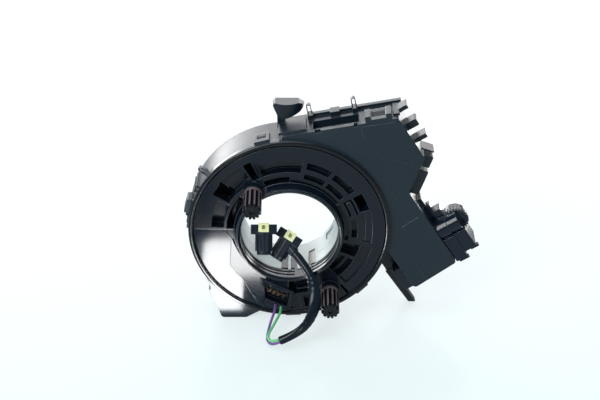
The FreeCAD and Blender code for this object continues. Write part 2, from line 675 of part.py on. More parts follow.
def sensor_ring():
    """Natural-coloured ring behind the hub, with the gear that drives the angle sensor."""
    tube = ring(RING_BORE_R, HUB_R, HUB_BACK + 0.05, RING_BACK)
    gaps = [sector(RING_BORE_R - 1, HUB_R + 1, HUB_BACK - 1, HUB_BACK + PRONG_L + 0.1, a0 - 0.3, a1 + 0.3)
            for a0, a1 in PRONGS]
    gaps += [sector(RING_BORE_R - 1, RING_BORE_R + depth, y, y + high, a0, a1)
             for a0, a1, y, high, depth in RING_WINDOWS]
    gaps += [sector(RING_BORE_R - 1, HUB_R + 1, RING_BACK - 1.6, RING_BACK + 1, a - 4, a + 4)
             for a in (-48, 42, 132, 222)]
    gear = gear_body(RING_TEETH, GEAR_Y, GEAR_Y + GEAR_T, V(0, 0, 0), 0.0)
    gear = gear.cut(disc(HUB_R - 0.3, GEAR_Y - 1, GEAR_Y + GEAR_T + 1))
    gear = gear.cut(disc(HUB_R + 0.2, GEAR_Y - 1, HUB_BACK + PRONG_L + 0.1))
    return cut_all(tube, gaps).fuse(gear).removeSplitter()


def measuring_gear(index):
    """Small gear that turns a magnet past the board's chip."""
    teeth = GEAR_TEETH[index]
    angle = GEAR_ANGLES[index]
    centre = gear_centre(teeth, angle)
    back = GEAR_Y + GEAR_T
    body = gear_body(teeth, GEAR_Y, back, centre, mesh_turn(teeth, angle))
    body = body.cut(disc(PIN_R + PIN_CLEARANCE, GEAR_Y - 1, GEAR_Y + PIN_LENGTH + 0.1, centre))
    return body.cut(disc(MAGNET_R, back - MAGNET_T, back + 1, centre))


def sensor_magnet(index):
    """Round magnet pressed into a measuring gear."""
    centre = gear_centre(GEAR_TEETH[index], GEAR_ANGLES[index])
    return disc(MAGNET_R, GEAR_Y + GEAR_T - MAGNET_T, GEAR_Y + GEAR_T, centre)


def circuit_board():
    """Board behind the measuring gears, reaching down the arm to the connectors."""
    board = side_prism(ARM_SIDES, BOARD_Y, BACK_Y, WALL_T + 0.5, 0.5)
    board = board.fuse(sector(PASS_R + 3, COLLAR_R - WALL_T - 0.5, BOARD_Y, BACK_Y, -20, 60))
    return board.removeSplitter().cut(disc(PASS_R + 3, BOARD_Y - 1, BACK_Y + 1))


def board_parts():
    """Angle sensor chips, controller and capacitors on the board."""
    chips = []
    for teeth, angle in zip(GEAR_TEETH, GEAR_ANGLES):
        centre = gear_centre(teeth, angle)
        chips.append(chip(centre.x, centre.z, 5.0, 4.0, 0.6))
    chips.append(chip(54.0, 40.0, 8.0, 8.0, 1.4))
    chips += [chip(46.0 + 4.5 * i, 54.0 - 1.0 * i, 2.4, 3.2, 1.6) for i in range(3)]
    chips.append(chip(62.0, 2.0, 6.0, 6.0, 1.4))
    return Part.makeCompound(chips)


def chip(x, z, width, height, thick):
    """One part standing on the board's front side."""
    return Part.makeBox(width, thick, height, V(x - width / 2, BOARD_Y - thick, z - height / 2))


def flat_cable():
    """Flat cable wound from half circles, each one step tighter than the last."""
    step = (RIBBON_OUT_R - RIBBON_IN_R) / RIBBON_TURNS
    outer = []
    inner = []
    for i in range(2 * RIBBON_TURNS):
        centre = V(-step / 2, 0, 0) if i % 2 else V(0, 0, 0)
        radius = RIBBON_OUT_R - step * i / 2
        outer.append(half_circle(centre, radius, i % 2))
        inner.append(half_circle(centre, radius - RIBBON_T, i % 2))
    first = Part.makeLine(polar(RIBBON_OUT_R, 0, RIBBON_Y), polar(RIBBON_OUT_R - RIBBON_T, 0, RIBBON_Y))
    last = polar(RIBBON_OUT_R - RIBBON_TURNS * step, 0, RIBBON_Y)
    end = Part.makeLine(last, last - V(RIBBON_T, 0, 0))
    wire = Part.Wire(Part.__sortEdges__(outer + [end] + inner + [first]))
    return Part.Face(wire).extrude(V(0, RIBBON_W, 0))


def half_circle(centre, radius, lower):
    """Half circle over a centre, or under it, in the front view."""
    turn = 180 if lower else 0
    ends = [centre + polar(radius, turn + a, RIBBON_Y) for a in (0, 90, 180)]
    return Part.Arc(*ends).toShape()


def case_terminal():
    """Block on the cassette wall where the flat cable's outer end leads to the board."""
    wall = CASSETTE_R - CASSETTE_T
    front = FLOOR_Y + 0.4
    back = PARTITION_Y - 0.4
    body = sector(RIBBON_OUT_R + 0.3, wall, front, back, -4.0, 4.0)
    tab = sector(RIBBON_OUT_R - RIBBON_T, RIBBON_OUT_R + 0.6, front, back, -4.0, -0.1)
    return body.fuse(tab).removeSplitter()


def rotor_terminal():
    """Block on the hub where the flat cable's inner end is joined."""
    return sector(HUB_R, RIBBON_IN_R - RIBBON_T - TERMINAL_GAP, FLOOR_Y, RIBBON_Y + 2, 150, 176)


def spring_clips():
    """Three steel strip loops that stand on the case and earth it."""
    loops = [
        strip_loop(TOP[0], TOP[1] + 2.8, -21.3, 4.8, 15.4),
        strip_loop(TOP[0], TOP[1] + 2.8, -44.2, 4.6, 15.4),
        strip_loop(145.0, COLLAR_R, 0.0, 3.6, 8.0),
    ]
    return Part.makeCompound(loops)


def strip_loop(side, reach, shift, height, y):
    """Upright loop of thin strip on a wall."""
    outer = block(side, reach + 0.8, reach + 0.8 + height, shift - 1.2, shift + 1.2, y, y + 3.0, 0.9)
    feet = block(side, reach, reach + 2.4, shift - 1.2, shift + 1.2, y, y + 3.0)
    inner = block(side, reach - 1.0, reach + 0.3 + height, shift - 0.8, shift + 0.8, y - 1, y + 4.0)
    return outer.fuse(feet).cut(inner)


def connector_housing():
    """Moulding with the two plug cells, the rounded towers and the round socket's barrel."""
    far = ARM_FAR[1]
    low = SOCKET_LOW
    x, z = arm_point(*BARREL_PLACE)
    round_centre = V(x, 0, z)
    parts = [
        arm_box(far, 70.2, low, low + 15.0, 3.0, 19.0, 0.8),
        arm_box(69.8, 77.0, low, low + 12.4, 4.0, 18.0, 0.8),
        arm_box(far + 1.5, 70.8, low + 14.6, low + 16.0, 3.0, 5.0),
        arm_box(73.6, 78.2, low + 11.4, low + 13.0, 4.0, 6.0),
        tower(far, 70.0, 5.6),
        tower(69.6, 76.2, 5.0),
        arm_box(far, 76.0, 42.0, low + 1.0, 7.5, 16.0),
        disc(BARREL_R, BARREL_FRONT, BARREL_BACK, round_centre),
        arm_box(far, 67.0, 31.0, 44.0, 10.0, 15.0),
        arm_box(66.6, 70.6, 35.0, 41.0, 9.0, 15.0, 0.6),
    ]
    for i in range(SERRATIONS):
        angle = i * 360.0 / SERRATIONS
        parts.append(block_at(round_centre, angle, BARREL_R - 0.5, BARREL_R + 0.8, 0.45, BARREL_FRONT,
                              BARREL_FRONT + 4.0))
    cells = [
        arm_box(65.2, 68.8, low + 1.5, low + 13.5, 7.0, 20.0),
        arm_box(71.2, 75.6, low + 2.2, low + 11.0, 8.0, 20.0),
        disc(BARREL_R - BARREL_T, BARREL_FRONT + BARREL_T, BARREL_BACK + 1, round_centre),
    ]
    return cut_all(fuse(parts), cells + [main_pins(), round_pins()])


def tower(n0, n1, radius):
    """Rounded tower that stands out from the arm."""
    x, z = arm_point(n0, 45.6)
    end_x, end_z = arm_point(n1, 45.6)
    axis = V(end_x - x, 0, end_z - z)
    return Part.makeCylinder(radius, axis.Length, V(x, 8.2, z), axis)


def main_pins():
    """Two rows of square contact pins in the plug cells."""
    half = PIN_SIZE / 2
    pins = []
    for n, first, count in ((67.0, 53.5, 5), (73.4, 53.2, 4)):
        for i in range(count):
            a = first + 2.0 * i
            pins.append(arm_box(n - half, n + half, a - half, a + half, 5.4, 14.0))
    return Part.makeCompound(pins)


def round_pins():
    """Contact pins of the round socket."""
    half = PIN_SIZE / 2
    pins = []
    for i in range(4):
        n = BARREL_PLACE[0] + (1.5 if i < 2 else -1.5)
        a = BARREL_PLACE[1] + (1.5 if i % 2 else -1.5)
        pins.append(arm_box(n - half, n + half, a - half, a + half, BARREL_FRONT + 0.6, BARREL_BACK - 3.0))
    return Part.makeCompound(pins)


def plug_placement(index):
    """Place of a plug: its own Z points up out of the head, its own Y away from the viewer."""
    x, y, z, turn = PLUG_PLACES[index]
    tilt = FreeCAD.Rotation(V(1, 0, 0), -HANG)
    return FreeCAD.Placement(V(x, y, z), tilt.multiply(FreeCAD.Rotation(V(0, 1, 0), turn)))


def plug_body(index):
    """Airbag plug: a head with two cheeks round the lock's slot and a ribbed, tapered nose."""
    half = HEAD_W / 2
    deep = HEAD_D / 2
    head = Part.makeBox(HEAD_W, HEAD_D, HEAD_H, V(-half, -deep, 0))
    head = head.makeFillet(0.6, [e for e in head.Edges if abs(e.BoundBox.ZLength - HEAD_H) < 0.01])
    nose = Part.makeCone(NOSE_R, NOSE_TIP_R, NOSE_L, V(0, 0, 0.5), V(0, 0, -1))
    rib_l = NOSE_L - 2.5
    reach = NOSE_R + 0.1
    ribs = [
        Part.makeBox(2 * reach, 1.2, rib_l, V(-reach, -0.6, -rib_l)),
        Part.makeBox(1.2, 2 * reach, rib_l, V(-2.4, -reach, -rib_l)),
        Part.makeBox(1.2, 2 * reach, rib_l, V(1.2, -reach, -rib_l)),
    ]
    bores = [Part.makeCylinder(0.7, 4.0, V(s, 0, -NOSE_L + 0.4), V(0, 0, 1)) for s in (-1.3, 1.3)]
    body = cut_all(fuse([head, nose] + ribs), bores)
    body.Placement = plug_placement(index)
    return body


def plug_slot(index):
    """Slot in a plug's head that the lock slides in, open to the front and the top."""
    width = LOCK_W + 2 * LOCK_GAP
    slot = Part.makeBox(width, HEAD_D / 2 + 1.6, HEAD_H, V(-width / 2, -HEAD_D / 2 - 1, LOCK_SEAT))
    slot.Placement = plug_placement(index)
    return slot


def plug_lock(index):
    """Yellow-green lock that slides in the head's slot and blocks the plug's latch."""
    deep = HEAD_D / 2
    lock = Part.makeBox(LOCK_W, deep + 1.0, HEAD_H - LOCK_SEAT + 0.9, V(-LOCK_W / 2, -deep - 0.5, LOCK_SEAT))
    lock = lock.cut(Part.makeBox(1.8, deep, 2.0, V(-0.9, -deep - 1, LOCK_SEAT + 1.5)))
    lock.Placement = plug_placement(index)
    return lock


# Cords: the sleeve from the second plug to its open end, and the two wires from the rotor's
# socket into that end
SLEEVE_POINTS = [V(2.6, -0.5, -13.0), V(7.1, -4.2, -16.9), V(12.2, -10.4, -24.0), V(13.8, -16.8, -34.5),
                 V(9.6, -23.8, -42.6), V(1.6, -27.2, -47.4), V(-5.1, -27.5, -50.3)]
MOUTH_OFFSET = 0.9
MOUTH_RUN = 3.1
PURPLE_POINTS = [V(-7.6, WIRE_SHELF_Y, -44.9), V(-7.6, -6.6, -44.9), V(-10.2, -12.6, -49.0),
                 V(-12.0, -18.4, -51.6), V(-12.4, -23.0, -52.9), V(-10.6, -26.1, -53.2)]
GREEN_POINTS = [V(-4.7, WIRE_SHELF_Y, -46.2), V(-4.7, -7.0, -46.2), V(-8.4, -12.7, -47.9),
                V(-11.7, -18.3, -49.4), V(-13.1, -22.6, -50.4), V(-11.2, -26.0, -51.3)]


def mouth_points(side):
    """Last two points of a wire, which enters the sleeve's open end square to it."""
    end = SLEEVE_POINTS[-1]
    out = (end - SLEEVE_POINTS[-2]).normalize()
    across = out.cross(V(0, 1, 0)).normalize() * (side * MOUTH_OFFSET)
    return [end + across + out * MOUTH_RUN, end + across]


def cord(name, points, diameter):
    """Round cord along straight runs with tangent arcs, its bend radii written out."""
    radii = [0.0]
    for before, here, after in zip(points, points[1:], points[2:]):
        back = before - here
        onward = after - here
        half = (math.pi - back.getAngle(onward)) / 2
        radii.append(0.45 * min(back.Length, onward.Length) / math.tan(half))
    path = Part.Wire(rounded_edges(points, radii, False))
    start = Part.Wire(Part.makeCircle(diameter / 2, points[0], points[1] - points[0]))
    tube = path.makePipeShell([start], True, False)
    expected = math.pi * diameter ** 2 / 4 * path.Length
    print(name, "radii/diameter", [round(r / diameter, 1) for r in radii[1:]],
          "length", round(path.Length, 1), "volume ratio", round(tube.Volume / expected, 4))
    return tube


def strain_relief():
    """Stub on the second plug that holds the start of the sleeve."""
    start = SLEEVE_POINTS[0]
    along = (SLEEVE_POINTS[1] - start).normalize()
    return Part.makeCylinder(RELIEF_D / 2, RELIEF_L, start - along * RELIEF_L, along)


def save(name, shape):
    """Write one sub-part."""
    shape.exportStep("parts/" + name + ".step")


os.makedirs("parts", exist_ok=True)
save("front_cover", front_cover())
save("rear_housing", rear_housing())
save("sensor_cover", sensor_cover())
save("liner_disc", liner_disc())
save("flat_cable", flat_cable())
save("case_terminal", case_terminal())
save("circuit_board", circuit_board())
save("board_parts", board_parts())
save("connector_housing", connector_housing())
save("main_pins", main_pins())
save("round_pins", round_pins())
save("spring_clips", spring_clips())
save("rotor_disc", rotor_disc())
save("rotor_terminal", rotor_terminal())
save("drive_post_upper", drive_post("upper"))
save("drive_post_lower", drive_post("lower"))
save("sensor_ring", sensor_ring())
save("outlet_cover", outlet_cover())
save("squib_socket", squib_socket())
save("squib_contacts", squib_contacts())
for index in (0, 1):
    save("measuring_gear_" + str(index + 1), measuring_gear(index))
    save("magnet_" + str(index + 1), sensor_magnet(index))
    save("plug_lock_" + str(index + 1), plug_lock(index))
save("plug_1", plug_body(0).cut(plug_slot(0)))
save("plug_2", plug_body(1).fuse(strain_relief()).cut(plug_slot(1)))
save("harness_sleeve", cord("harness_sleeve", SLEEVE_POINTS, SLEEVE_D))
save("wire_purple", cord("wire_purple", PURPLE_POINTS + mouth_points(1), WIRE_D))
save("wire_green", cord("wire_green", GREEN_POINTS + mouth_points(-1), WIRE_D))
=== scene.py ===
import math

import bmesh
import bpy
import numpy as np
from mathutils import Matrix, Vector


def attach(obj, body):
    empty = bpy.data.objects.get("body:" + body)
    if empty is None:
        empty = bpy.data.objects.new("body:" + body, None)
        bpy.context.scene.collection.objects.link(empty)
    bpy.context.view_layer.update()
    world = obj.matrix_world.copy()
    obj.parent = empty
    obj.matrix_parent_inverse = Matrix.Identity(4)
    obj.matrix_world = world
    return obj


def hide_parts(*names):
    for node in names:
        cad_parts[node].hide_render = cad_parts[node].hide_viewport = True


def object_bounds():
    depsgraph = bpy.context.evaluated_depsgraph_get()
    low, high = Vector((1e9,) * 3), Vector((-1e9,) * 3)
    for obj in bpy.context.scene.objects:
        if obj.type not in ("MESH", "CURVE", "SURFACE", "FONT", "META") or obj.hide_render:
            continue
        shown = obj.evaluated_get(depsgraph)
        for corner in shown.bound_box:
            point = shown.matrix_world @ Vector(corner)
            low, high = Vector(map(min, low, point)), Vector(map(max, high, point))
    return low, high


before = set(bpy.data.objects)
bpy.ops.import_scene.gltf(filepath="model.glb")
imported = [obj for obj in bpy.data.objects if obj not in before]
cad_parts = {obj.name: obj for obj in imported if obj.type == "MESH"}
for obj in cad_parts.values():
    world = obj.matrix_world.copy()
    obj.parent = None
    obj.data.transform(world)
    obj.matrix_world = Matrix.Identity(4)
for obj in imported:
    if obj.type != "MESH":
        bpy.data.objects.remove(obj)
cad_box = [list(corner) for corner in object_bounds()]
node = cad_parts

# The rear cover of the case: a flat moulding in black glass-filled polyester, screwed and
# clipped behind the angle sensor, with stiffening ribs round its collar. The mould is eroded,
# which leaves the polyester satin, and its edges carry a painted highlight in a lighter grey.
MM = 0.001                         # sizes are written in millimetres, and Blender's are metres
MIX_A, MIX_B = 6, 7                # the two colour sockets of a Mix node
NOISE_LOW, NOISE_HIGH = 0.3, 0.7   # nearly all of a noise lies between these
EDGE_SAMPLES = 4
GRAIN_STRENGTH = 0.35
DRIFT_MM = 26.0                    # the melt cools unevenly over about this length
DRIFT_LOW, DRIFT_HIGH = 0.82, 1.18 # how far the roughness drifts, as a share of itself
PIN_LINE_MM = 0.16                 # half the width of the ring that an ejector pin leaves
PIN_DEPTH_MM = 0.04
PIN_STRENGTH = 0.5
# Painted edge highlight: a lighter grey is mixed in between these cosines, up to this share.
EDGE_HIGHLIGHT_START, EDGE_HIGHLIGHT_FULL = 0.97, 0.85   # cosines between the rounded normal and the face's own
EDGE_HIGHLIGHT_SHARE = 0.6
POLISHED_SHARE = 0.4               # what a polished collar keeps of the roughness
POLISHED_FADE_MM = 0.4
# Colours of painted highlights: the first lightens the crests of flutes, the second the edges.
CREST_HIGHLIGHT = "#7D7277"
EDGE_HIGHLIGHT = "#55636E"


def linear(code):
    """Linear colour of an sRGB hex code: each part c goes to ((c + 0.055) / 1.055) ^ 2.4."""
    parts = [int(code[i:i + 2], 16) / 255 for i in (1, 3, 5)]
    return [c / 12.92 if c <= 0.04045 else ((c + 0.055) / 1.055) ** 2.4 for c in parts] + [1.0]


def add(tree, kind, sockets, **settings):
    """Node of a kind with its settings; a socket takes a value or a link from another node."""
    made = tree.nodes.new(kind)
    for name, value in settings.items():
        setattr(made, name, value)
    for name, value in sockets.items():
        if isinstance(value, bpy.types.NodeSocket):
            tree.links.new(value, made.inputs[name])
        else:
            made.inputs[name].default_value = value
    return made


def new_material(name):
    """Empty material and its node tree."""
    material = bpy.data.materials.new(name)
    material.use_nodes = True
    material.node_tree.nodes.clear()
    return material, material.node_tree


def off_axis(tree, place, axis_mm):
    """Distance of a point from a line along Y, which is given by its X and Z in millimetres."""
    level = add(tree, "ShaderNodeVectorMath", {0: place, 1: (1.0, 0.0, 1.0)}, operation="MULTIPLY")
    line = (axis_mm[0] * MM, 0.0, axis_mm[1] * MM)
    away = add(tree, "ShaderNodeVectorMath", {0: level.outputs["Vector"], 1: line},
               operation="DISTANCE")
    return away.outputs["Value"]


def moulded_plastic(name, colour, flow, roughness, grain_mm, depth_mm, edge_mm, pins=(),
                    collar_mm=None, crests=(), rim=None, **shader):
    """Moulded thermoplastic: an eroded mould's grain as bump, colour and roughness that drift
    over tens of millimetres where the melt cooled unevenly, edges broken by a small radius, and
    the faint rings of ejector pins, each a place and a radius in millimetres. A collar is a
    radius about the rotor's axis inside which the mould was polished. Crests get a painted
    highlight in grey: each is an axis, the radius where it starts and the radius where it is
    full. A rim colour is a painted highlight on the edges, where the rounded normal leaves the
    face's own. Real grain is about 0.1 mm wide and wouldn't show, so it is drawn coarser."""
    material, tree = new_material(name)
    place = add(tree, "ShaderNodeTexCoord", {}).outputs["Object"]
    grain = add(tree, "ShaderNodeTexNoise", {"Vector": place, "Scale": 1 / (grain_mm * MM),
                                             "Detail": 2.0, "Roughness": 0.6})
    drift = add(tree, "ShaderNodeTexNoise", {"Vector": place, "Scale": 1 / (DRIFT_MM * MM),
                                             "Detail": 3.0})
    rough = add(tree, "ShaderNodeMapRange",
                {"Value": drift.outputs["Fac"], "From Min": NOISE_LOW, "From Max": NOISE_HIGH,
                 "To Min": roughness * DRIFT_LOW, "To Max": roughness * DRIFT_HIGH})
    tone = add(tree, "ShaderNodeMix", {"Factor": drift.outputs["Fac"], MIX_A: linear(colour),
                                       MIX_B: linear(flow)}, data_type="RGBA")
    edge = add(tree, "ShaderNodeBevel", {"Radius": edge_mm * MM}, samples=EDGE_SAMPLES)
    bump = add(tree, "ShaderNodeBump",
               {"Height": grain.outputs["Fac"], "Strength": GRAIN_STRENGTH,
                "Distance": depth_mm * MM, "Normal": edge.outputs["Normal"]})
    for spot, radius in pins:
        away = add(tree, "ShaderNodeVectorMath", {0: place, 1: [c * MM for c in spot]},
                   operation="DISTANCE")
        ring = add(tree, "ShaderNodeMath", {0: away.outputs["Value"], 1: radius * MM,
                                            2: PIN_LINE_MM * MM}, operation="COMPARE")
        bump = add(tree, "ShaderNodeBump",
                   {"Height": ring.outputs["Value"], "Strength": PIN_STRENGTH,
                    "Distance": PIN_DEPTH_MM * MM, "Normal": bump.outputs["Normal"]})
    colour_out, rough_out = tone.outputs[2], rough.outputs["Result"]
    # Painted highlight on the edges: the rim colour is mixed in where the rounded normal turns
    # from the face's own.
    if rim:
        flat = add(tree, "ShaderNodeNewGeometry", {}).outputs["True Normal"]
        turned = add(tree, "ShaderNodeVectorMath", {0: edge.outputs["Normal"], 1: flat},
                     operation="DOT_PRODUCT")
        line = add(tree, "ShaderNodeMapRange",
                   {"Value": turned.outputs["Value"], "From Min": EDGE_HIGHLIGHT_START,
                    "From Max": EDGE_HIGHLIGHT_FULL, "To Min": 0.0, "To Max": EDGE_HIGHLIGHT_SHARE})
        colour_out = add(tree, "ShaderNodeMix",
                         {"Factor": line.outputs["Result"], MIX_A: colour_out,
                          MIX_B: linear(rim)}, data_type="RGBA").outputs[2]
    if collar_mm:
        inside = add(tree, "ShaderNodeMapRange",
                     {"Value": off_axis(tree, place, (0.0, 0.0)), "From Min": collar_mm * MM,
                      "From Max": (collar_mm + POLISHED_FADE_MM) * MM,
                      "To Min": POLISHED_SHARE, "To Max": 1.0})
        rough_out = add(tree, "ShaderNodeMath", {0: rough_out, 1: inside.outputs["Result"]},
                        operation="MULTIPLY").outputs["Value"]
    # Painted highlight on the crests of flutes: grey mixed in from the start radius to the full
    # one, none beyond twice that.
    for axis, start, full in crests:
        away = off_axis(tree, place, axis)
        painted_crest = add(tree, "ShaderNodeMapRange", {"Value": away, "From Min": start * MM,
                                                "From Max": full * MM})
        near = add(tree, "ShaderNodeMath", {0: away, 1: 2 * full * MM}, operation="LESS_THAN")
        shine = add(tree, "ShaderNodeMath", {0: painted_crest.outputs["Result"], 1: near.outputs["Value"]},
                    operation="MULTIPLY")
        colour_out = add(tree, "ShaderNodeMix",
                         {"Factor": shine.outputs["Value"], MIX_A: colour_out,
                          MIX_B: linear(CREST_HIGHLIGHT)}, data_type="RGBA").outputs[2]
    surface = add(tree, "ShaderNodeBsdfPrincipled",
                  {"Base Color": colour_out, "Roughness": rough_out,
                   "Normal": bump.outputs["Normal"], **shader})
    add(tree, "ShaderNodeOutputMaterial", {"Surface": surface.outputs["BSDF"]})
    return material


def dress(material, slot, *pieces):
    """Gives pieces one material. The slot, the record's slot that it stands for, is not used."""
    for piece in pieces:
        piece.data.materials.clear()
        piece.data.materials.append(material)


satin_polyester = moulded_plastic("glass_filled_polyester", "#101C26", "#14212B",
                                  roughness=0.33, grain_mm=0.55, depth_mm=0.02, edge_mm=0.35,
                                  rim=EDGE_HIGHLIGHT, IOR=1.5)
dress(satin_polyester, "case_plastic", node["sensor_cover"])

# The case proper: wall, partition, channel, lugs and the leg at the lower right in one
# moulding of the same polyester, which the loops of the front plate snap onto.
dress(satin_polyester, "case_plastic", node["rear_housing"])

# The front plate, of the same polyester from a finer mould, so it looks a little smoother. It
# shows the rings of the ejector pins that pushed it out, and its mould was polished round the
# rotor. Each pin is a place and a radius in millimetres.
PLATE_PINS = [((70.0, 1.5, -4.5), 2.4), ((66.0, 1.5, -12.0), 2.8), ((74.5, 1.5, -17.0), 2.2),
              ((63.5, 1.5, 6.0), 2.4), ((47.0, 1.5, 52.0), 2.2), ((60.0, 1.5, 44.0), 2.0)]
PLATE_COLLAR_MM = 52.7
# Its edges carry a painted highlight in a lighter grey.
plate_polyester = moulded_plastic("glass_filled_polyester_plate", "#13222D", "#182833",
                                  roughness=0.31, grain_mm=0.55, depth_mm=0.02, edge_mm=0.35,
                                  pins=PLATE_PINS, collar_mm=PLATE_COLLAR_MM, rim=EDGE_HIGHLIGHT, IOR=1.5)
dress(plate_polyester, "case_plastic", node["front_cover"])

# The plate's collar: where the plate frames the rotor its edge is a rounded bead. It belongs to
# the same moulding, and its mould was polished, so it gleams; it is coloured near black, darker
# than the plate, as painted shade of the groove round the rotor, and shows as a thin dark line.
BEAD_MIDDLE, BEAD_HALF, BEAD_RISE = 51.5, 1.15, 0.7
BEAD_SUNK = 0.1                    # how far the middle of its section lies in the plate


def skin(name, *grids, smooth=False):
    """Mesh over grids of points that are closed round their second direction; poles are merged."""
    points = np.concatenate([grid.reshape(-1, 3) for grid in grids])
    faces = []
    start = 0
    for grid in grids:
        rows, around = grid.shape[:2]
        i, j = np.meshgrid(np.arange(rows - 1), np.arange(around), indexing="ij")
        k = (j + 1) % around
        corners = [i * around + j, i * around + k, (i + 1) * around + k, (i + 1) * around + j]
        faces += (np.stack(corners, -1).reshape(-1, 4) + start).tolist()
        start += rows * around
    mesh = bpy.data.meshes.new(name)
    mesh.from_pydata(points.tolist(), [], faces)
    work = bmesh.new()
    work.from_mesh(mesh)
    bmesh.ops.remove_doubles(work, verts=work.verts, dist=0.001 * MM)
    bmesh.ops.recalc_face_normals(work, faces=work.faces)
    work.to_mesh(mesh)
    work.free()
    mesh.polygons.foreach_set("use_smooth", [smooth] * len(mesh.polygons))
    made = bpy.data.objects.new(name, mesh)
    bpy.context.scene.collection.objects.link(made)
    return made


def bead(middle, half, rise):
    """Ring about the rotor's axis whose section is an ellipse: half wide and rise high."""
    angle = np.radians(np.linspace(0, 360, 241))[:, None]
    turn = np.linspace(0, 2 * np.pi, 24, endpoint=False)
    radius = middle + half * np.cos(turn)
    x = radius * np.cos(angle)
    y = np.broadcast_to(-rise * np.sin(turn) + BEAD_SUNK, x.shape)
    return np.stack([x, y, radius * np.sin(angle)], -1) * MM


collar_bead = skin("collar_bead", bead(BEAD_MIDDLE, BEAD_HALF, BEAD_RISE), smooth=True)
# Near-black colour, darker than the plate's: painted shade of the groove round the rotor.
collar_painted_shade = moulded_plastic("collar_painted_shade", "#050B13", "#081019", roughness=0.2,
                                  grain_mm=1.6, depth_mm=0.005, edge_mm=0.1)
dress(collar_painted_shade, "case_plastic", collar_bead)
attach(collar_bead, "case")

# The flat cable's cassette: the wound cable in smooth polyester film, a dull slippery film
# under it, and the two moulded blocks where its ends are welded. All of it is closed in by the
# plate and the rotor, and only a dark gleam of the winding shows through the rotor's windows.
cable_film = moulded_plastic("polyester_film", "#090B0D", "#0D0F12", roughness=0.3,
                             grain_mm=2.0, depth_mm=0.01, edge_mm=0.1)
slip_film = moulded_plastic("slip_film", "#2A2E33", "#31363B", roughness=0.5,
                            grain_mm=0.8, depth_mm=0.01, edge_mm=0.1)
dress(cable_film, "cable_film", node["flat_cable"])
dress(slip_film, "liner", node["liner_disc"])
dress(satin_polyester, "case_plastic", node["case_terminal"])

# The angle sensor's ring and its two small gears, moulded in natural acetal. It has no pigment,
# so light goes a little way in, and the ring looks milky and soft at its edges.
natural_acetal = moulded_plastic("natural_acetal", "#A9B6B7", "#B5C1C1", roughness=0.4,
                                 grain_mm=0.8, depth_mm=0.01, edge_mm=0.25,
                                 **{"Subsurface Weight": 0.12,
                                    "Subsurface Radius": (0.9, 0.9, 1.0),
                                    "Subsurface Scale": 1.5 * MM})
dress(natural_acetal, "natural_plastic", node["sensor_ring"], node["measuring_gear_1"],
      node["measuring_gear_2"])

# The sensor's electronics: a magnet of sintered ferrite, matt and gritty, is pressed into each
# gear and passes under the chips of a board. The board has glossy green solder mask, and the
# chips are matt where their black resin left the mould.
sintered_ferrite = moulded_plastic("sintered_ferrite", "#37383A", "#3F4042", roughness=0.55,
                                   grain_mm=0.2, depth_mm=0.02, edge_mm=0.1)
solder_mask = moulded_plastic("solder_mask", "#1E5B36", "#236340", roughness=0.25,
                              grain_mm=1.2, depth_mm=0.01, edge_mm=0.1)
moulded_package = moulded_plastic("moulded_package", "#1B1B1C", "#222224", roughness=0.5,
                                  grain_mm=0.3, depth_mm=0.01, edge_mm=0.1)
dress(sintered_ferrite, "magnet", node["magnet_1"], node["magnet_2"])
dress(solder_mask, "board", node["circuit_board"])
dress(moulded_package, "chip", node["board_parts"])

# The connectors on the arm: stepped cells, rounded towers and a serrated round barrel in one
# black polyamide moulding. Its mould was polished, so it shows sharp bright gleams, and its
# edges carry a painted highlight in a lighter grey.
EDGE_HIGHLIGHT_GLOSS = "#5A6872"
polished_polyamide = moulded_plastic("polished_polyamide", "#0B1825", "#0F1D2B", roughness=0.12,
                                     grain_mm=1.6, depth_mm=0.01, edge_mm=0.35,
                                     rim=EDGE_HIGHLIGHT_GLOSS, IOR=1.46)
dress(polished_polyamide, "gloss_black", node["connector_housing"])

# The connectors' contacts: square and round pins, punched from brass strip, tinned and pressed
# into the housing's floor. The tin gives them a soft silvery shine.
ROLL_STRETCH = (1.0, 0.1, 1.0)     # rolling marks are ten times as long as they are wide
ROLL_LOW, ROLL_HIGH = 0.7, 1.3     # how far the roughness changes across them
METAL_EDGE_MM = 0.12


def rolled_metal(name, colour, roughness, mark_mm):
    """Bare metal whose roughness follows the rolling marks, a stretched noise. Real marks are
    a few hundredths of a millimetre wide and wouldn't show, so they are drawn coarser."""
    material, tree = new_material(name)
    place = add(tree, "ShaderNodeTexCoord", {}).outputs["Object"]
    marks = add(tree, "ShaderNodeMapping", {"Vector": place, "Scale": ROLL_STRETCH})
    lines = add(tree, "ShaderNodeTexNoise", {"Vector": marks.outputs["Vector"],
                                             "Scale": 1 / (mark_mm * MM), "Detail": 2.0})
    rough = add(tree, "ShaderNodeMapRange",
                {"Value": lines.outputs["Fac"], "To Min": roughness * ROLL_LOW,
                 "To Max": roughness * ROLL_HIGH})
    edge = add(tree, "ShaderNodeBevel", {"Radius": METAL_EDGE_MM * MM}, samples=EDGE_SAMPLES)
    surface = add(tree, "ShaderNodeBsdfPrincipled",
                  {"Base Color": linear(colour), "Metallic": 1.0,
                   "Roughness": rough.outputs["Result"], "Normal": edge.outputs["Normal"]})
    add(tree, "ShaderNodeOutputMaterial", {"Surface": surface.outputs["BSDF"]})
    return material


tinned_brass = rolled_metal("tinned_brass", "#CFCBC0", roughness=0.28, mark_mm=0.3)
dress(tinned_brass, "contact_brass", node["main_pins"], node["round_pins"])

# Three loops of spring steel strip that are pushed onto the case wall and earth it. Each is bent
# from one strip, two legs and a rounded bow, 3 mm wide and 0.6 mm thick. The steel is bare and
# dull from its rolling.
STRIP_WIDE = 3.0
STRIP_THICK = 0.6
STRIP_PROUD = 0.5                  # what the bow rises above the height of its clip
BOW_RADIUS = 1.0
